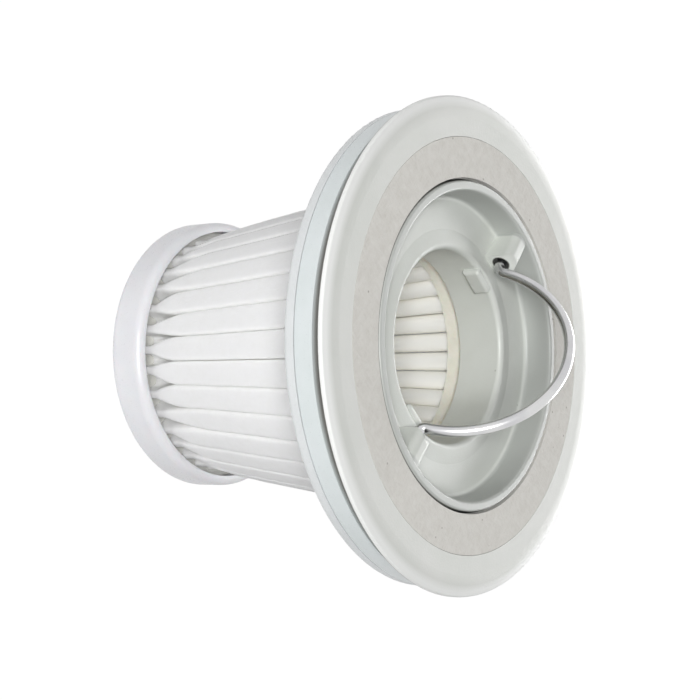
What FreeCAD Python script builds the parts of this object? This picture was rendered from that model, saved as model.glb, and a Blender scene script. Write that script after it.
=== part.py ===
import FreeCAD
import Part
import math
import os

from FreeCAD import Vector

# Conical pleated filter for a hand-held vacuum cleaner, in millimetres.
# It stands on its end cap: +Z runs up the filter's axis to the flange face,
# the wire bail's hinge lies along X, and the origin is the middle of the cap's foot.

# Heights above the cap's foot
face_height = 42.0
cap_height = 4.9
cap_floor = 1.3
cap_potting_depth = 1.9
media_embed = 1.2

# Flange stack, from the flange face down
lip_bevel_drop = 0.5
lip_edge = 0.45
stack_groove = 1.55
band_width = 2.3
seam_width = 0.15
collar_plate = 1.5
pad_thickness = 0.8

# Radii and edges of the flange stack
seal_radius = 29.0
seal_stem_width = 0.9
lip_bevel_width = 1.6
lip_bevel_round = 5.5
lip_edge_round = 0.3
band_radius = 27.95
seam_depth = 0.6
back_edge_round = 0.7
pad_outer_radius = 24.2
pad_inner_radius = 19.5
fit_clearance = 0.05
drop_in_clearance = 0.2

# Handle frame
frame_gap = 0.3
rim_width = 1.1
rim_round = 0.3
rim_draft = 0.4
recess_depth = 3.5
recess_fillet = 0.6
bore_radius = 11.4
tube_wall = 1.0
tube_length = 5.6
bore_lip_rise = 0.4
bore_lip_width = 2.4
bore_lip_round = 0.6
block_width = 2.7
block_drop = 0.25
block_round = 1.0
ear_width = 3.6
ear_reach = 0.8
ear_rise = 0.4
ear_depth = 1.8
ear_round = 0.45

# Wire bail
wire_diameter = 1.25
bail_radius = 12.65
bail_bend_radius = 0.9
bail_leg_length = 2.9
bail_lean = 22.0
pivot_depth = 1.95
pivot_clearance = 0.05
eyelet_radius = 1.0
eyelet_depth = 0.7
bail_clearance = 0.4

# Pleated media
pleat_count = 34
media_thickness = 0.55
media_top_radius = 18.9
media_foot_radius = 15.0
pleat_depth = 5.2
pleat_crown = 1.2
pleat_gap = 0.2
pinch_half_width = 0.68
pinch_length = 4.6
pinch_bulge = 0.4
valley_rise = 0.3

# Potting skirt and cap
skirt_wall = 0.9
skirt_height = 5.2
skirt_clearance = 0.6
cap_radius = 16.9
cap_wall = 1.2
cap_foot_round = 1.1
cap_rim_round = 1.0

# Levels and radii that follow from the sizes above
lip_back = face_height - lip_bevel_drop - lip_edge
band_top = lip_back - stack_groove
band_back = band_top - band_width
collar_back = band_back - seam_width - collar_plate
pad_seat = face_height - pad_thickness
recess_floor = face_height - recess_depth
pivot_height = face_height - pivot_depth
rim_outer_radius = pad_inner_radius - frame_gap
rim_inner_radius = rim_outer_radius - rim_width
tube_radius = bore_radius + tube_wall
tube_end = recess_floor - tube_length
skirt_end = collar_back - skirt_height
skirt_inner_radius = media_top_radius + skirt_clearance
media_top = collar_back - media_embed
cap_inner_radius = cap_radius - cap_wall
cap_potting_top = cap_floor + cap_potting_depth
media_foot = cap_potting_top - media_embed
wire_radius = wire_diameter / 2
bend_middle = math.sqrt(bail_radius ** 2 + 2 * bail_radius * bail_bend_radius)
block_start = bend_middle + bail_clearance
pleat_pitch = 2 * math.pi / pleat_count

origin = Vector(0, 0, 0)
x_axis = Vector(1, 0, 0)
z_axis = Vector(0, 0, 1)


# A closed outline in radius and height, each corner rounded by its own radius
def rounded_outline(corners):
    points = [Vector(radius, 0, height) for radius, height, _ in corners]
    runs = []
    for i, (_, _, rounding) in enumerate(corners):
        here = points[i]
        to_last = (points[i - 1] - here).normalize()
        to_next = (points[(i + 1) % len(points)] - here).normalize()
        half = to_last.getAngle(to_next) / 2
        setback = rounding / math.tan(half)
        bisector = (to_last + to_next).normalize()
        middle = here + bisector * (rounding / math.sin(half) - rounding)
        runs.append((here + to_last * setback, middle, here + to_next * setback, rounding))
    edges = []
    for i, (start, middle, end, rounding) in enumerate(runs):
        edges.append(Part.makeLine(runs[i - 1][2], start))
        if rounding > 0:
            edges.append(Part.Arc(start, middle, end).toShape())
    return Part.Wire(edges)


# A full turn of an outline about the filter's axis
def turned(corners):
    return Part.Face(rounded_outline(corners)).revolve(origin, z_axis, 360)


# Soft gasket: a bevelled lip over a stem that stands on the flange body
def make_seal_ring():
    inner = pad_outer_radius + fit_clearance
    stem = inner + seal_stem_width
    edge_round = min(lip_edge_round, 0.8 * lip_edge)
    return turned([
        (inner, band_top, 0),
        (stem, band_top, 0),
        (stem, lip_back, 0),
        (seal_radius, lip_back, 0),
        (seal_radius, lip_back + lip_edge, edge_round),
        (seal_radius - lip_bevel_width, face_height, lip_bevel_round),
        (inner, face_height, 0),
    ])


# Flange body: the glossy band, with a seat for the pad and a ledge for the seal
def make_flange_body():
    inner = rim_outer_radius + drop_in_clearance
    return turned([
        (inner, band_back, 0),
        (band_radius, band_back, 0),
        (band_radius, band_top, 0),
        (pad_outer_radius, band_top, 0),
        (pad_outer_radius, pad_seat, 0),
        (inner, pad_seat, 0),
    ])


# Flat felt ring that lies in the flange body's seat
def make_face_pad():
    return turned([
        (pad_inner_radius, pad_seat, 0),
        (pad_outer_radius, pad_seat, 0),
        (pad_outer_radius, face_height, 0),
        (pad_inner_radius, face_height, 0),
    ])


# Collar: the back plate, with a skirt that holds the potting round the pleats
def make_media_collar():
    inner = tube_radius + drop_in_clearance
    skirt_outer = skirt_inner_radius + skirt_wall
    return turned([
        (inner, band_back, 0),
        (band_radius - seam_depth, band_back, 0),
        (band_radius - seam_depth, band_back - seam_width, 0),
        (band_radius, band_back - seam_width, 0),
        (band_radius, collar_back, back_edge_round),
        (skirt_outer, collar_back, 0),
        (skirt_outer, skirt_end, 0),
        (skirt_inner_radius, skirt_end, 0),
        (skirt_inner_radius, collar_back, 0),
        (inner, collar_back, 0),
    ])


# Block between the recess wall and the bail, on which one leg of the wire turns
def make_pivot_block():
    top = face_height - block_drop
    length = rim_inner_radius + rim_width / 2 - block_start
    corner = Vector(block_start, -block_width / 2, recess_floor - recess_fillet)
    block = Part.makeBox(length, block_width, top - corner.z, corner)
    top_edges = [edge for edge in block.Edges if is_level(edge, top) and edge.CenterOfMass.x < rim_inner_radius]
    return block.makeFillet(block_round, top_edges)


def is_level(edge, height):
    return all(abs(vertex.Point.z - height) < 1e-6 for vertex in edge.Vertexes)


# Rounded ear on the bore's edge beside each pivot, clear of the wire's bend
def make_bore_ear():
    inner = bore_radius - ear_reach
    outer = bail_radius - wire_radius - bail_clearance
    top = recess_floor + ear_rise
    corner = Vector(inner, -ear_width / 2, recess_floor - ear_depth)
    ear = Part.makeBox(outer - inner, ear_width, top - corner.z, corner)
    round_edges = [edge for edge in ear.Edges if is_level(edge, top) or edge.BoundBox.XMax < inner + 1e-6]
    return ear.makeFillet(min(ear_round, 0.4 * (outer - inner)), round_edges)


# Hole for one leg of the wire, closed at its outer end and wider at its mouth
def make_pivot_hole():
    length = bail_leg_length + bail_clearance
    start = Vector(bend_middle, 0, pivot_height)
    hole = Part.makeCylinder(wire_radius + pivot_clearance, length, start, x_axis)
    eyelet = Part.makeCylinder(eyelet_radius, bail_clearance + eyelet_depth, start, x_axis)
    return hole.fuse(eyelet)


# Handle frame: a recessed ring whose floor rises to a bore tube, with two pivot blocks and two ears
def make_handle_frame():
    frame = turned([
        (bore_radius, tube_end, 0),
        (bore_radius, recess_floor + bore_lip_rise, bore_lip_round),
        (bore_radius + bore_lip_width, recess_floor, 0),
        (rim_inner_radius - rim_draft, recess_floor, recess_fillet),
        (rim_inner_radius, face_height, rim_round),
        (rim_outer_radius, face_height, rim_round),
        (rim_outer_radius, band_back, 0),
        (tube_radius, band_back, 0),
        (tube_radius, tube_end, 0),
    ])
    for turn in (0, 180):
        for piece in (make_pivot_block(), make_bore_ear()):
            piece.rotate(origin, z_axis, turn)
            frame = frame.fuse(piece)
    for turn in (0, 180):
        hole = make_pivot_hole()
        hole.rotate(origin, z_axis, turn)
        frame = frame.cut(hole)
    return frame.Solids[0]


# Wire bail: a half ring whose ends bend outwards into legs on the hinge line
def make_wire_bail():
    share = bail_radius / (bail_radius + bail_bend_radius)
    meet = Vector(bend_middle * share, 0, bail_bend_radius * share)
    half_bend = math.acos(1 - meet.z / bail_bend_radius) / 2
    bend_side = bend_middle - bail_bend_radius * math.sin(half_bend)
    bend = Vector(bend_side, 0, bail_bend_radius * (1 - math.cos(half_bend)))
    start = Vector(bend_middle, 0, 0)
    leg_end = Vector(bend_middle + bail_leg_length, 0, 0)
    path = Part.Wire([
        Part.makeLine(leg_end, start),
        Part.Arc(start, bend, meet).toShape(),
        Part.Arc(meet, Vector(0, 0, bail_radius), mirrored(meet)).toShape(),
        Part.Arc(mirrored(meet), mirrored(bend), mirrored(start)).toShape(),
        Part.makeLine(mirrored(start), mirrored(leg_end)),
    ])
    section = Part.Wire(Part.makeCircle(wire_radius, leg_end, x_axis))
    bail = path.makePipeShell([section], True, False)
    bail.rotate(origin, x_axis, bail_lean)
    bail.translate(Vector(0, 0, pivot_height))
    return bail


def mirrored(point):
    return Vector(-point.x, point.y, point.z)


# One ring of points round the folds, on the outer or the inner side of the sheet
def fold_ring(height, tip, pinched, inner_side):
    valley = tip - pleat_depth + media_thickness
    root = valley + valley_rise
    shoulder = tip - pleat_crown
    tip_half = root_half = pinch_half_width
    if not pinched:
        tip_half = shoulder * math.tan(pleat_pitch / 2) - pleat_gap / 2
        root_half = root * math.tan(pleat_pitch / 2) - pleat_gap / 2
    inset = media_thickness if inner_side else 0
    diagonal = math.sqrt(0.5)
    half_fold = [
        (root - inset, root_half - inset),
        (shoulder, tip_half - inset),
        (shoulder + (pleat_crown - inset) * diagonal, (tip_half - inset) * diagonal),
    ]
    points = []
    for pleat in range(pleat_count):
        angle = pleat * pleat_pitch
        low = angle - pleat_pitch / 2
        along = Vector(math.cos(angle), math.sin(angle), 0)
        across = Vector(-math.sin(angle), math.cos(angle), 0)
        points.append(Vector(math.cos(low), math.sin(low), 0) * (valley - inset))
        points.extend(along * radius - across * half for radius, half in half_fold)
        points.append(along * (tip - inset))
        points.extend(along * radius + across * half for radius, half in reversed(half_fold))
    return [point + Vector(0, 0, height) for point in points]


# Flat faces between two rings of points, two to each stretch
def band_faces(lower, upper):
    faces = []
    for i in range(len(lower)):
        for corners in ((lower[i - 1], lower[i], upper[i]), (lower[i - 1], upper[i], upper[i - 1])):
            faces.append(Part.Face(Part.makePolygon([*corners, corners[0]])))
    return faces


# Folded filter sheet: pinched into fins at the cap, full folds above, straight where it is potted
def make_pleated_media():
    cone_height = skirt_end - cap_height
    widening = (media_top_radius - media_foot_radius) / cone_height
    full_radius = media_foot_radius + widening * pinch_length + pinch_bulge
    levels = [
        (media_foot, media_foot_radius, True),
        (cap_height, media_foot_radius, True),
        (cap_height + pinch_length, full_radius, False),
        (skirt_end, media_top_radius, False),
        (media_top, media_top_radius, False),
    ]
    outer_rings = [fold_ring(*level, False) for level in levels]
    inner_rings = [fold_ring(*level, True) for level in levels]
    faces = []
    for rings in (outer_rings, inner_rings):
        for lower, upper in zip(rings, rings[1:]):
            faces.extend(band_faces(lower, upper))
    for end in (0, -1):
        outlines = [Part.makePolygon(rings[end] + rings[end][:1]) for rings in (outer_rings, inner_rings)]
        faces.append(Part.makeFace(outlines, "Part::FaceMakerBullseye"))
    shell = Part.makeShell(faces)
    shell.sewShape()
    media = Part.makeSolid(shell)
    if media.Volume < 0:
        media.reverse()
    return media


# Cream adhesive ring that holds the pleats in the collar
def make_collar_potting(media):
    inner = tube_radius + fit_clearance
    outer = skirt_inner_radius - fit_clearance
    ring = turned([
        (inner, skirt_end, 0),
        (outer, skirt_end, 0),
        (outer, collar_back, 0),
        (inner, collar_back, 0),
    ])
    return ring.cut(media)


# Adhesive disc that holds the pleats in the end cap
def make_cap_potting(media):
    radius = cap_inner_radius - fit_clearance
    disc = Part.makeCylinder(radius, cap_potting_depth, Vector(0, 0, cap_floor))
    return disc.cut(media)


# End cap: a shallow closed dish with a rounded foot and a rim that is rounded on the outside
def make_end_cap():
    return turned([
        (0, 0, 0),
        (cap_radius, 0, cap_foot_round),
        (cap_radius, cap_height, cap_rim_round),
        (cap_inner_radius, cap_height, 0),
        (cap_inner_radius, cap_floor, 0),
        (0, cap_floor, 0),
    ])


def main():
    os.makedirs("parts", exist_ok=True)
    media = make_pleated_media()
    pieces = {
        "end_cap": make_end_cap(),
        "cap_potting": make_cap_potting(media),
        "pleated_media": media,
        "collar_potting": make_collar_potting(media),
        "media_collar": make_media_collar(),
        "flange_body": make_flange_body(),
        "seal_ring": make_seal_ring(),
        "face_pad": make_face_pad(),
        "handle_frame": make_handle_frame(),
        "wire_bail": make_wire_bail(),
    }
    for name, shape in pieces.items():
        shape.exportStep("parts/" + name + ".step")
        print(name, len(shape.Solids), "solid,", round(shape.Volume, 2), "mm3, valid", shape.isValid())


main()
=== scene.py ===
import bpy
import bmesh
import math
import random
from mathutils import Matrix, Vector, noise


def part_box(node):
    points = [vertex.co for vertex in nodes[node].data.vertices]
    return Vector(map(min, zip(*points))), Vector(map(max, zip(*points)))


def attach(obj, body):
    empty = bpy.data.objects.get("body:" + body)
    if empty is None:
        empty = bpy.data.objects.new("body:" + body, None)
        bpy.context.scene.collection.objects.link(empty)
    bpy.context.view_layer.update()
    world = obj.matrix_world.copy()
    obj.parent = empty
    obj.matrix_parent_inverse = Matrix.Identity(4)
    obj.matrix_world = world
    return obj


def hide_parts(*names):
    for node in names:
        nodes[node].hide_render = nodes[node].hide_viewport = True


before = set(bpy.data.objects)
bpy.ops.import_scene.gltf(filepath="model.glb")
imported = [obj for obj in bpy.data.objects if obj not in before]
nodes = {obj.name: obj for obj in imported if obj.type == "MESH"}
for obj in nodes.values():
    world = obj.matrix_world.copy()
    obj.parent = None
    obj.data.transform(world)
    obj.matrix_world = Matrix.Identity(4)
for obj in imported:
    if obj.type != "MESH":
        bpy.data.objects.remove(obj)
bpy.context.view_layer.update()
mm = 0.001
print("frame loaded:", len(nodes), "nodes")


# colours are written as 0 to 255 screen values, and taken off the screen's curve here
def tone(red, green, blue):
    def linear(value):
        share = value / 255
        return share / 12.92 if share <= 0.04045 else ((share + 0.055) / 1.055) ** 2.4
    return (linear(red), linear(green), linear(blue), 1.0)


# node helpers: an input takes a plain setting or another node's output
def feed(tree, target, value):
    if isinstance(value, bpy.types.NodeSocket):
        tree.links.new(value, target)
    else:
        target.default_value = value


def addNode(tree, kind, inputs=None, **settings):
    node = tree.nodes.new(kind)
    for name, value in settings.items():
        setattr(node, name, value)
    for name, value in (inputs or {}).items():
        feed(tree, node.inputs[name], value)
    return node


def objectPlace(tree):
    return tree.nodes.new("ShaderNodeTexCoord").outputs["Object"]


def mixColour(tree, factor, low, high):
    inputs = {0: factor, 6: low, 7: high}  # the mix node's sockets for colours
    return addNode(tree, "ShaderNodeMix", inputs, data_type="RGBA").outputs[2]


def stretch(tree, value, source, target=(0.0, 1.0)):
    inputs = {
        "Value": value,
        "From Min": source[0],
        "From Max": source[1],
        "To Min": target[0],
        "To Max": target[1],
    }
    return addNode(tree, "ShaderNodeMapRange", inputs).outputs["Result"]


def combine(tree, operation, first, second):
    inputs = {0: first, 1: second}
    return addNode(tree, "ShaderNodeMath", inputs, operation=operation).outputs["Value"]


def vectorStep(tree, operation, *inputs):
    return addNode(tree, "ShaderNodeVectorMath", dict(enumerate(inputs)), operation=operation).outputs


def newGroup(name, inputs, outputs):
    group = bpy.data.node_groups.new(name, "ShaderNodeTree")
    for label, kind, value in inputs:
        socket = group.interface.new_socket(name=label, in_out="INPUT", socket_type=kind)
        socket.default_value = value
    for label, kind in outputs:
        group.interface.new_socket(name=label, in_out="OUTPUT", socket_type=kind)
    start = group.nodes.new("NodeGroupInput")
    end = group.nodes.new("NodeGroupOutput")
    return group, start.outputs, end.inputs


def useGroup(tree, group, **values):
    inputs = {label.replace("_", " "): value for label, value in values.items()}
    return addNode(tree, "ShaderNodeGroup", inputs, node_tree=group).outputs


def newMaterial(name, shown, **plain):
    material = bpy.data.materials.new(name)
    material.use_nodes = True
    material.diffuse_color = shown
    tree = material.node_tree
    shader = tree.nodes["Principled BSDF"]
    for label, value in plain.items():
        shader.inputs[label.replace("_", " ")].default_value = value
    return material, tree, shader


def dressShader(tree, shader, colour, roughness, height, bump):
    relief = addNode(tree, "ShaderNodeBump", {"Height": height, "Distance": bump, "Strength": 1.0})
    feed(tree, shader.inputs["Base Color"], colour)
    feed(tree, shader.inputs["Roughness"], roughness)
    feed(tree, shader.inputs["Normal"], relief.outputs["Normal"])


# moulded skin: a cloudy tone over spark-eroded grain
skinTexture = {
    "cloud": {"Detail": 4.0, "Roughness": 0.6},
    "grain": {"Detail": 3.0, "Roughness": 0.55},
    "cloudRange": (0.35, 0.65),
    "grainRange": (0.3, 0.7),
}


def makeMouldedSkin(texture):
    group, values, result = newGroup(
        "mouldedSkin",
        [
            ("Light Colour", "NodeSocketColor", (1, 1, 1, 1)),
            ("Dark Colour", "NodeSocketColor", (0.8, 0.8, 0.8, 1)),
            ("Cloud Scale", "NodeSocketFloat", 150.0),
            ("Grain Scale", "NodeSocketFloat", 4000.0),
            ("Rough Low", "NodeSocketFloat", 0.3),
            ("Rough High", "NodeSocketFloat", 0.45),
        ],
        [
            ("Colour", "NodeSocketColor"),
            ("Roughness", "NodeSocketFloat"),
            ("Height", "NodeSocketFloat"),
        ],
    )
    place = objectPlace(group)
    cloud = addNode(group, "ShaderNodeTexNoise", {
        "Vector": place, "Scale": values["Cloud Scale"], **texture["cloud"]}).outputs["Fac"]
    grain = addNode(group, "ShaderNodeTexNoise", {
        "Vector": place, "Scale": values["Grain Scale"], **texture["grain"]}).outputs["Fac"]
    cloudy = stretch(group, cloud, texture["cloudRange"])
    colour = mixColour(group, cloudy, values["Dark Colour"], values["Light Colour"])
    spread = (values["Rough Low"], values["Rough High"])
    feed(group, result["Colour"], colour)
    feed(group, result["Roughness"], stretch(group, grain, texture["grainRange"], spread))
    feed(group, result["Height"], combine(group, "ADD", grain, cloud))
    return group


# loose fibres: three crossing layers of stretched noise, and the tufts between them
fibreTexture = {
    "layers": [  # turn about Z and squeeze of each layer
        {"turn": 0.6, "squeeze": (1.0, 0.16, 0.6)},
        {"turn": 2.1, "squeeze": (0.14, 1.0, 0.6)},
        {"turn": 1.2, "squeeze": (1.0, 0.6, 0.15)},
    ],
    "tilt": (0.3, 0.2),
    "warp": {"Scale": 300.0, "Detail": 2.0},
    "warpReach": 0.6 * mm,
    "fibre": {"Detail": 3.0, "Roughness": 0.65},
    "tuft": {"Detail": 5.0, "Roughness": 0.7},
    "fibreRange": (0.45, 0.72),
    "tuftRange": (0.32, 0.68),
}


def makeFibreMat(texture):
    group, values, result = newGroup(
        "fibreMat",
        [
            ("Fibre Scale", "NodeSocketFloat", 900.0),
            ("Tuft Scale", "NodeSocketFloat", 260.0),
        ],
        [
            ("Fibres", "NodeSocketFloat"),
            ("Tufts", "NodeSocketFloat"),
            ("Height", "NodeSocketFloat"),
        ],
    )
    place = objectPlace(group)
    warp = addNode(group, "ShaderNodeTexNoise", {"Vector": place, **texture["warp"]})
    reach = (texture["warpReach"],) * 3
    fibres = None
    for layer in texture["layers"]:
        turned = addNode(group, "ShaderNodeMapping", {
            "Vector": place, "Rotation": (*texture["tilt"], layer["turn"]), "Scale": layer["squeeze"]})
        swirl = vectorStep(
            group, "MULTIPLY_ADD", warp.outputs["Color"], reach, turned.outputs["Vector"])
        strand = addNode(group, "ShaderNodeTexNoise", {
            "Vector": swirl["Vector"], "Scale": values["Fibre Scale"], **texture["fibre"],
        }).outputs["Fac"]
        fibres = strand if fibres is None else combine(group, "MAXIMUM", fibres, strand)
    tufts = addNode(group, "ShaderNodeTexNoise", {
        "Vector": place, "Scale": values["Tuft Scale"], **texture["tuft"]}).outputs["Fac"]
    feed(group, result["Fibres"], stretch(group, fibres, texture["fibreRange"]))
    feed(group, result["Tufts"], stretch(group, tufts, texture["tuftRange"]))
    feed(group, result["Height"], combine(group, "ADD", fibres, tufts))
    return group


# shaded ring: grows from 0 to 1 between two radii and between two heights
def makeRingMask():
    group, values, result = newGroup(
        "ringMask",
        [
            ("Radius From", "NodeSocketFloat", 0.02),
            ("Radius To", "NodeSocketFloat", 0.01),
            ("Height From", "NodeSocketFloat", 0.0),
            ("Height To", "NodeSocketFloat", 0.01),
        ],
        [("Mask", "NodeSocketFloat")],
    )
    place = objectPlace(group)
    flat = vectorStep(group, "MULTIPLY", place, (1.0, 1.0, 0.0))["Vector"]
    radius = vectorStep(group, "LENGTH", flat)["Value"]
    height = addNode(group, "ShaderNodeSeparateXYZ", {"Vector": place}).outputs["Z"]
    within = stretch(group, radius, (values["Radius From"], values["Radius To"]))
    past = stretch(group, height, (values["Height From"], values["Height To"]))
    feed(group, result["Mask"], combine(group, "MULTIPLY", within, past))
    return group


# sparse specks of dust, each in a cell of its own
speckTexture = {"edge": (0.1, 0.06)}  # where a speck fades in, as a share of its cell


def makeDustSpecks(texture):
    group, values, result = newGroup(
        "dustSpecks",
        [("Cell Scale", "NodeSocketFloat", 500.0), ("Share", "NodeSocketFloat", 0.3)],
        [("Mask", "NodeSocketFloat")],
    )
    cells = addNode(group, "ShaderNodeTexVoronoi", {
        "Vector": objectPlace(group), "Scale": values["Cell Scale"]}).outputs
    draw = addNode(group, "ShaderNodeSeparateColor", {"Color": cells["Color"]}).outputs["Red"]
    spot = stretch(group, cells["Distance"], texture["edge"])
    chosen = combine(group, "LESS_THAN", draw, values["Share"])
    feed(group, result["Mask"], combine(group, "MULTIPLY", spot, chosen))
    return group


mouldedSkin = makeMouldedSkin(skinTexture)
fibreMat = makeFibreMat(fibreTexture)
ringMask = makeRingMask()
dustSpecks = makeDustSpecks(speckTexture)


# a ring of another tone: painted shade in a groove or gap, a painted highlight along an edge, and the
# sheet's creamier inside
def shadeRing(tree, colour, ring):
    mask = useGroup(
        tree,
        ringMask,
        Radius_From=ring["radius"][0] * mm,
        Radius_To=ring["radius"][1] * mm,
        Height_From=ring["height"][0] * mm,
        Height_To=ring["height"][1] * mm,
    )
    return mixColour(tree, mask["Mask"], colour, ring["colour"])


# the shade inside the two pivot holes, which lie along X
def shadePivots(tree, colour, pivots):
    hinge = (0.0, 0.0, pivots["height"] * mm)
    moved = vectorStep(tree, "SUBTRACT", objectPlace(tree), hinge)["Vector"]
    across = vectorStep(tree, "MULTIPLY", moved, (0.0, 1.0, 1.0))["Vector"]
    reach = vectorStep(tree, "LENGTH", across)["Value"]
    mask = stretch(tree, reach, [radius * mm for radius in pivots["radius"]])
    return mixColour(tree, mask, colour, pivots["colour"])


# tone rings (painted shade and highlight, and the sheet's creamier inside), painted pivot shade and
# dust over a finish's own colour, where its look has them
def addMarks(tree, colour, look):
    for ring in look.get("rings", []):
        colour = shadeRing(tree, colour, ring)
    if "pivots" in look:
        colour = shadePivots(tree, colour, look["pivots"])
    if "specks" in look:
        specks = look["specks"]
        mask = useGroup(tree, dustSpecks, Cell_Scale=specks["scale"], Share=specks["share"])
        colour = mixColour(tree, mask["Mask"], colour, specks["colour"])
    return colour


# one moulded plastic, rubber or glue finish from the shared skin
def mouldedMaterial(look):
    material, tree, shader = newMaterial(look["name"], look["light"], **look["plain"])
    skin = useGroup(
        tree,
        mouldedSkin,
        Light_Colour=look["light"],
        Dark_Colour=look["dark"],
        Cloud_Scale=look["cloudScale"],
        Grain_Scale=look["grainScale"],
        Rough_Low=look["rough"][0],
        Rough_High=look["rough"][1],
    )
    colour = addMarks(tree, skin["Colour"], look)
    dressShader(tree, shader, colour, skin["Roughness"], skin["Height"], look["bump"])
    return material


# one felt or nonwoven finish from the shared fibres
def fibreMaterial(look):
    material, tree, shader = newMaterial(look["name"], look["light"], **look["plain"])
    mat = useGroup(tree, fibreMat, Fibre_Scale=look["fibreScale"], Tuft_Scale=look["tuftScale"])
    colour = mixColour(tree, mat["Tufts"], look["dark"], look["light"])
    if "pale" in look:
        shown = combine(tree, "MULTIPLY", mat["Fibres"], look["paleShare"])
        colour = mixColour(tree, shown, colour, look["pale"])
    colour = addMarks(tree, colour, look)
    roughness = stretch(tree, mat["Fibres"], (0.0, 1.0), look["rough"])
    dressShader(tree, shader, colour, roughness, mat["Height"], look["bump"])
    return material


# looks: radii and heights of rings and pivots in mm, scales per metre, bump in metres
capLook = {
    "name": "capGlossWhite",
    "light": tone(228, 228, 231),
    "dark": tone(224, 224, 228),
    "cloudScale": 140.0,
    "grainScale": 5200.0,
    "rough": (0.26, 0.36),
    "bump": 0.000012,
    "plain": {"IOR": 1.5, "Subsurface_Weight": 0.08, "Subsurface_Scale": 0.0015},
}
bandLook = {
    "name": "bandGlossWhite",
    "light": tone(216, 222, 223),
    "dark": tone(211, 218, 218),
    "cloudScale": 160.0,
    "grainScale": 5200.0,
    "rough": (0.27, 0.31),
    "bump": 0.000002,
    "rings": [  # shade in the groove under the lip
        {"radius": (27.9, 27.3), "height": (39.3, 39.45), "colour": tone(168, 168, 164)},
    ],
    "plain": {"IOR": 1.5, "Coat_Weight": 0.1, "Coat_Roughness": 0.2},
}
collarLook = {
    "name": "collarWhite",
    "light": tone(220, 223, 224),
    "dark": tone(215, 218, 219),
    "cloudScale": 160.0,
    "grainScale": 5200.0,
    "rough": (0.26, 0.38),
    "bump": 0.000012,
    "plain": {"IOR": 1.5},
}
sealLook = {
    "name": "sealSoftGrey",
    "light": tone(217, 218, 214),
    "dark": tone(211, 213, 208),
    "cloudScale": 110.0,
    "grainScale": 4200.0,
    "rough": (0.42, 0.58),
    "bump": 0.000022,
    "rings": [  # a painted highlight along the thin edge of the lip, and painted shade on its underside
        {"radius": (27.6, 28.4), "height": (38.0, 39.0), "colour": tone(240, 241, 239)},
        {"radius": (30.0, 29.4), "height": (41.15, 41.06), "colour": tone(160, 160, 156)},
    ],
    "plain": {"IOR": 1.48, "Sheen_Weight": 0.08, "Sheen_Roughness": 0.5},
}
frameLook = {
    "name": "frameSatinGrey",
    "light": tone(212, 215, 210),
    "dark": tone(207, 210, 204),
    "cloudScale": 150.0,
    "grainScale": 4600.0,
    "rough": (0.32, 0.44),
    "bump": 0.000014,
    "rings": [  # painted shade on the recess wall, darker painted shade on its lower part, and painted shade in the gap outside the rim
        {"radius": (17.4, 17.7), "height": (38.5, 39.0), "colour": tone(188, 191, 187)},
        {"radius": (17.5, 17.7), "height": (41.8, 41.4), "colour": tone(177, 180, 176)},
        {"radius": (19.1, 19.2), "height": (41.9, 41.8), "colour": tone(112, 113, 110)},
    ],
    # painted shade inside the two pivot holes
    "pivots": {"height": 40.05, "radius": (1.15, 1.02), "colour": tone(86, 87, 84)},
    "specks": {"scale": 560.0, "share": 0.16, "colour": tone(184, 186, 180)},
    "plain": {"IOR": 1.5},
}
collarGlueLook = {
    "name": "glueCream",
    "light": tone(243, 240, 230),
    "dark": tone(234, 231, 218),
    "cloudScale": 420.0,
    "grainScale": 1500.0,
    "rough": (0.3, 0.5),
    "bump": 0.00010,
    "plain": {"IOR": 1.49, "Subsurface_Weight": 0.15, "Subsurface_Scale": 0.001},
}
capGlueLook = {
    "name": "glueWhite",
    "light": tone(204, 204, 200),
    "dark": tone(194, 194, 189),
    "cloudScale": 420.0,
    "grainScale": 1500.0,
    "rough": (0.35, 0.5),
    "bump": 0.00010,
    "plain": {"IOR": 1.49},
}
feltLook = {  # mottled tufts under pale fibres
    "name": "feltBeige",
    "light": tone(224, 222, 216),
    "dark": tone(213, 210, 203),
    "pale": tone(231, 229, 224),
    "paleShare": 0.45,
    "fibreScale": 2600.0,
    "tuftScale": 900.0,
    "rough": (0.95, 0.8),
    "bump": 0.00010,
    "specks": {"scale": 640.0, "share": 0.3, "colour": tone(176, 171, 163)},
    "plain": {"IOR": 1.4, "Sheen_Weight": 0.2, "Sheen_Roughness": 0.6},
}
sheetLook = {  # light spreads in the thin white sheet, and it is creamier inside
    "name": "filterSheet",
    "light": tone(252, 252, 250),
    "dark": tone(247, 247, 244),
    "fibreScale": 2300.0,
    "tuftScale": 500.0,
    "rough": (0.95, 0.8),
    "bump": 0.00003,
    "rings": [{"radius": (15.2, 14.0), "height": (6.0, 9.0), "colour": tone(253, 250, 238)}],
    "plain": {
        "IOR": 1.4,
        "Sheen_Weight": 0.15,
        "Sheen_Roughness": 0.6,
        "Subsurface_Weight": 1.0,
        "Subsurface_Scale": 0.001,
        "Subsurface_Radius": (1.0, 1.0, 0.97),
    },
}
steelLook = {
    "name": "steelWire",
    "light": tone(214, 214, 214),
    "dark": tone(200, 200, 202),
    "marks": {"Scale": 1800.0, "Detail": 4.0, "Roughness": 0.6},
    "patches": {"Scale": 260.0, "Detail": 2.0},
    "markRange": (0.3, 0.7),
    "patchRange": (0.35, 0.65),
    "rough": (0.2, 0.26),
    "bump": 0.000002,
}


# drawn steel wire: bright, with fine marks and duller patches
def steelMaterial(look):
    material, tree, shader = newMaterial(look["name"], look["light"], Metallic=1.0)
    place = objectPlace(tree)
    marks = addNode(tree, "ShaderNodeTexNoise", {"Vector": place, **look["marks"]}).outputs["Fac"]
    patches = addNode(tree, "ShaderNodeTexNoise", {"Vector": place, **look["patches"]}).outputs["Fac"]
    duller = stretch(tree, patches, look["patchRange"])
    colour = mixColour(tree, duller, look["dark"], look["light"])
    roughness = stretch(tree, marks, look["markRange"], look["rough"])
    dressShader(tree, shader, colour, roughness, marks, look["bump"])
    return material


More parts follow.
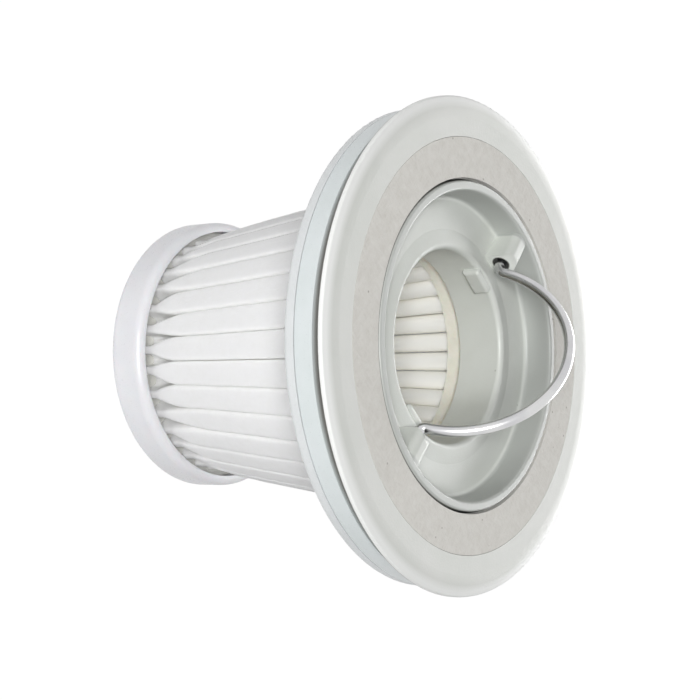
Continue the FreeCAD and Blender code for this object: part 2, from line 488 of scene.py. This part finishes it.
finishes = {
    "end_cap": mouldedMaterial(capLook),
    "cap_potting": mouldedMaterial(capGlueLook),
    "pleated_media": fibreMaterial(sheetLook),
    "collar_potting": mouldedMaterial(collarGlueLook),
    "media_collar": mouldedMaterial(collarLook),
    "flange_body": mouldedMaterial(bandLook),
    "seal_ring": mouldedMaterial(sealLook),
    "face_pad": fibreMaterial(feltLook),
    "handle_frame": mouldedMaterial(frameLook),
    "wire_bail": steelMaterial(steelLook),
}
for name, material in finishes.items():
    nodes[name].data.materials.clear()
    nodes[name].data.materials.append(material)
print("finishes made:", len(finishes))


# a finished bmesh becomes an object at the origin, with one material
def addPiece(name, bm, material):
    mesh = bpy.data.meshes.new(name)
    bm.to_mesh(mesh)
    bm.free()
    mesh.materials.append(material)
    piece = bpy.data.objects.new(name, mesh)
    bpy.context.scene.collection.objects.link(piece)
    return piece


# folded sheet: a flat grid, moved point by point into pinched and puffed pleats
pleats = {
    "count": 34,
    "pointsPerPleat": 24,
    "levels": 48,
    "thickness": 0.5 * mm,
    "depth": 5.9 * mm,
    "finDepth": 2.8 * mm,  # fold depth at the cap
    "rootHalf": 0.3 * mm,
    "valleyRound": 0.8 * mm,
    "valleyShare": 0.35,  # shares of the points in a fold's valley, wall and crown
    "wallShare": 0.2,
    "crownShare": 0.45,
    "crown": 0.16 * mm,
    "crownWander": 0.1 * mm,
    "crownPace": (5.3, 90.0, 2.5),  # noise steps by pleat and by metre, and a start
    "squareness": 0.5,
    "creaseWander": 0.015 * mm,
    "pinchedHalf": 0.26 * mm,
    "pinchLength": 7.4 * mm,
    "pinchPower": 1.5,  # how soon a pinched fin opens
    "widening": 3.9 * mm,
    "bulge": 0.4 * mm,
    "tipWander": 0.12 * mm,
    "tipRipple": 0.05 * mm,
    "tipPace": (3.7, 190.0, 0.5),
    "sway": 0.3 * mm,
    "leanRange": (-0.5, 1.0),
    "growRange": (-1.0, 0.0),
    "tightRange": (0.55, 1.3),
    "mergeReach": 0.02 * mm,
    "seed": 7,
}


def limit(share):
    return min(max(share, 0.0), 1.0)


def easeInOut(share):
    share = limit(share)
    return share * share * (3 - 2 * share)


def easeOut(share, power):
    return 1 - (1 - limit(share)) ** power


def wander(pleat, height, pace):
    return noise.noise(Vector((pleat * pace[0], height * pace[1], pace[2])))


# half of a fold's outline, from the valley (0) to the tip (1), as radius and half width
def foldOutline(share, fold, sizes):
    root = fold["valley"] + sizes["valleyRound"]
    shoulder = fold["tip"] - fold["crown"]
    wallStart = sizes["valleyShare"]
    wallEnd = wallStart + sizes["wallShare"]
    if share < wallStart:
        angle = share / wallStart * math.pi / 2
        return (root - sizes["valleyRound"] * math.cos(angle),
                fold["middle"] - (fold["middle"] - fold["rootHalf"]) * math.sin(angle))
    if share < wallEnd:
        along = (share - wallStart) / sizes["wallShare"]
        return (root + (shoulder - root) * along,
                fold["rootHalf"] + (fold["tipHalf"] - fold["rootHalf"]) * along)
    angle = (share - wallEnd) / sizes["crownShare"] * math.pi / 2
    bow = sizes["squareness"]
    return (shoulder + fold["crown"] * math.sin(angle) ** bow,
            fold["tipHalf"] * max(math.cos(angle), 0.0) ** bow)


def makePleats(sizes):
    low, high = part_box("pleated_media")
    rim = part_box("end_cap")[1].z
    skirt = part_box("media_collar")[0].z
    topRadius = high.x
    footRadius = topRadius - sizes["widening"]
    count = sizes["count"]
    points = sizes["pointsPerPleat"]
    columns = count * points
    pitch = 2 * math.pi / count
    wall = sizes["thickness"] / 2
    pinched = sizes["pinchedHalf"]
    power = sizes["pinchPower"]
    chance = random.Random(sizes["seed"])
    lean = [chance.uniform(*sizes["leanRange"]) for _ in range(count)]
    grow = [chance.uniform(*sizes["growRange"]) for _ in range(count)]
    tight = [chance.uniform(*sizes["tightRange"]) for _ in range(count)]

    # the fold of one pleat at one height, and how far it has opened there
    def foldAt(pleat, height):
        climb = limit((height - rim) / (skirt - rim))
        opened = easeOut((height - rim) / (sizes["pinchLength"] * tight[pleat]), power)
        deepened = easeOut((height - rim) / sizes["pinchLength"], power)
        ripple = abs(wander(pleat, height, sizes["tipPace"]))
        cone = footRadius + (topRadius - footRadius) * climb - wall
        swell = sizes["bulge"] * opened + sizes["tipWander"] * grow[pleat]
        tip = cone + swell * (1 - climb) - sizes["tipRipple"] * ripple
        crown = sizes["crown"] + sizes["crownWander"] * wander(pleat, height, sizes["crownPace"])
        valley = cone - (sizes["finDepth"] + (sizes["depth"] - sizes["finDepth"]) * deepened)
        crease = sizes["creaseWander"] * ripple * opened
        full = (tip - crown) * math.tan(pitch / 2) - crease - wall
        return opened, {
            "tip": tip,
            "valley": valley,
            "crown": crown,
            "middle": valley * math.tan(pitch / 2),
            "rootHalf": pinched + (sizes["rootHalf"] - pinched) * opened,
            "tipHalf": pinched + (full - pinched) * opened,
        }

    bm = bmesh.new()
    bmesh.ops.create_grid(bm, x_segments=columns, y_segments=sizes["levels"], size=1.0)
    for vert in bm.verts:
        column = round((vert.co.x + 1) / 2 * columns)
        height = low.z + (vert.co.y + 1) / 2 * (high.z - low.z)
        pleat = (column // points) % count
        within = (column % points) / points
        share = 1 - abs(within * 2 - 1)
        opened, fold = foldAt(pleat, height)
        radius, side = foldOutline(share, fold, sizes)
        if within > 0.5:
            side = -side
        side += sizes["sway"] * lean[pleat] * (1 - opened) * easeInOut(share * 2)
        angle = (pleat + 0.5) * pitch
        along = Vector((math.cos(angle), math.sin(angle), 0))
        across = Vector((math.sin(angle), -math.cos(angle), 0))
        vert.co = along * radius + across * side + Vector((0, 0, height))
    bmesh.ops.remove_doubles(bm, verts=bm.verts, dist=sizes["mergeReach"])
    bmesh.ops.recalc_face_normals(bm, faces=bm.faces)
    for face in bm.faces:
        face.smooth = True
    piece = addPiece("foldedFilterSheet", bm, finishes["pleated_media"])
    thicken = piece.modifiers.new("sheetThickness", "SOLIDIFY")
    thicken.thickness = sizes["thickness"]
    thicken.offset = 0.0
    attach(piece, "filter")
    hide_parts("pleated_media")


makePleats(pleats)
print("pleats folded:", pleats["count"])


# the glue that sets level round the fins in the cap, a little drawn up at its edge
capGlue = {"segments": 96, "ringWidth": 0.5 * mm, "edgeRise": 0.12 * mm}


def makeCapGlue(sizes):
    low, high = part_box("cap_potting")
    depth = high.z - low.z - sizes["edgeRise"]
    middle = low.z + depth / 2
    bm = bmesh.new()
    bmesh.ops.create_cone(bm, cap_ends=True, cap_tris=False, segments=sizes["segments"],
                          radius1=high.x, radius2=high.x, depth=depth)
    bmesh.ops.translate(bm, verts=bm.verts, vec=(0, 0, middle))
    top = max(bm.faces, key=lambda face: face.calc_center_median().z)
    bmesh.ops.inset_region(bm, faces=[top], thickness=sizes["ringWidth"], use_even_offset=True)
    brimStart = high.x - sizes["ringWidth"] / 2
    brim = [vert for vert in bm.verts if vert.co.z > middle and vert.co.xy.length > brimStart]
    bmesh.ops.translate(bm, verts=brim, vec=(0, 0, sizes["edgeRise"]))
    bmesh.ops.recalc_face_normals(bm, faces=bm.faces)
    piece = addPiece("capGlueDisc", bm, finishes["cap_potting"])
    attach(piece, "filter")
    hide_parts("cap_potting")


makeCapGlue(capGlue)
print("cap glue poured")


# the photograph's viewpoint, in the filter's own frame
photoCamera = {
    "place": Vector((-0.11948, 0.11863, 0.14576)),
    "forward": Vector((0.57520, -0.57135, -0.58541)),
    "up": Vector((0.71788, 0.69567, 0.02640)),
    "lens": 87.43,
    "sensor": 36.0,
    "nearest": 0.01,
}


def makeCamera(sizes):
    data = bpy.data.cameras.new("photoCamera")
    data.lens = sizes["lens"]
    data.sensor_width = sizes["sensor"]
    data.clip_start = sizes["nearest"]
    camera = bpy.data.objects.new("photoCamera", data)
    back = -sizes["forward"].normalized()
    right = sizes["up"].cross(back).normalized()
    up = back.cross(right)
    turn = Matrix((right, up, back)).transposed().to_4x4()
    camera.matrix_world = Matrix.Translation(sizes["place"]) @ turn
    bpy.context.scene.collection.objects.link(camera)
    bpy.context.scene.camera = camera


makeCamera(photoCamera)
print("camera placed")


# 1 for rays that show the room itself, to the camera or in a reflection
def shownRays(tree):
    rays = tree.nodes.new("ShaderNodeLightPath").outputs
    mirrored = combine(tree, "MAXIMUM", rays["Is Glossy Ray"], rays["Is Transmission Ray"])
    return combine(tree, "MAXIMUM", rays["Is Camera Ray"], mirrored)


# soft boxes aimed at the filter, and an even white room
softBoxes = {
    "front": {"place": Vector((-0.334, 0.334, 0.395)), "size": 0.19, "power": 3.15},
    "back": {"place": Vector((0.36, -0.36, 0.10)), "size": 0.4, "power": 3.0},
}
room = {"light": 0.06, "shown": 1.0, "aim": Vector((0, 0, 0.025))}


def makeLights():
    for name, box in softBoxes.items():
        data = bpy.data.lights.new(name, "AREA")
        data.energy = box["power"]
        data.size = box["size"]
        lamp = bpy.data.objects.new(name, data)
        lamp.location = box["place"]
        lamp.rotation_euler = (room["aim"] - box["place"]).to_track_quat("-Z", "Y").to_euler()
        bpy.context.scene.collection.objects.link(lamp)
    world = bpy.data.worlds.new("whiteRoom")
    world.use_nodes = True
    tree = world.node_tree
    background = tree.nodes["Background"].inputs
    background["Color"].default_value = (1, 1, 1, 1)
    strength = stretch(tree, shownRays(tree), (0.0, 1.0), (room["light"], room["shown"]))
    feed(tree, background["Strength"], strength)
    bpy.context.scene.world = world


# white floor: bright to the camera, with the filter's soft shadow on it
floorLook = {
    "name": "floorWhite",
    "reach": 1.5,
    "shown": (0.9, 0.9, 0.9, 1),
    "glow": {"Color": (1, 1, 1, 1), "Strength": 1.06},
    "glowShare": 0.9,
    "plain": {"Base_Color": (0.82, 0.82, 0.82, 1), "Roughness": 0.9, "Specular_IOR_Level": 0.1},
}


def makeFloor(look):
    material, tree, shader = newMaterial(look["name"], look["shown"], **look["plain"])
    glow = addNode(tree, "ShaderNodeEmission", look["glow"])
    mix = addNode(tree, "ShaderNodeMixShader", {
        "Fac": combine(tree, "MULTIPLY", shownRays(tree), look["glowShare"])})
    tree.links.new(shader.outputs["BSDF"], mix.inputs[1])
    tree.links.new(glow.outputs["Emission"], mix.inputs[2])
    tree.links.new(mix.outputs["Shader"], tree.nodes["Material Output"].inputs["Surface"])
    bm = bmesh.new()
    bmesh.ops.create_grid(bm, x_segments=2, y_segments=2, size=look["reach"])
    floor = addPiece("floor", bm, material)


makeLights()
makeFloor(floorLook)
bpy.context.scene.view_settings.view_transform = "Standard"
print("studio set")
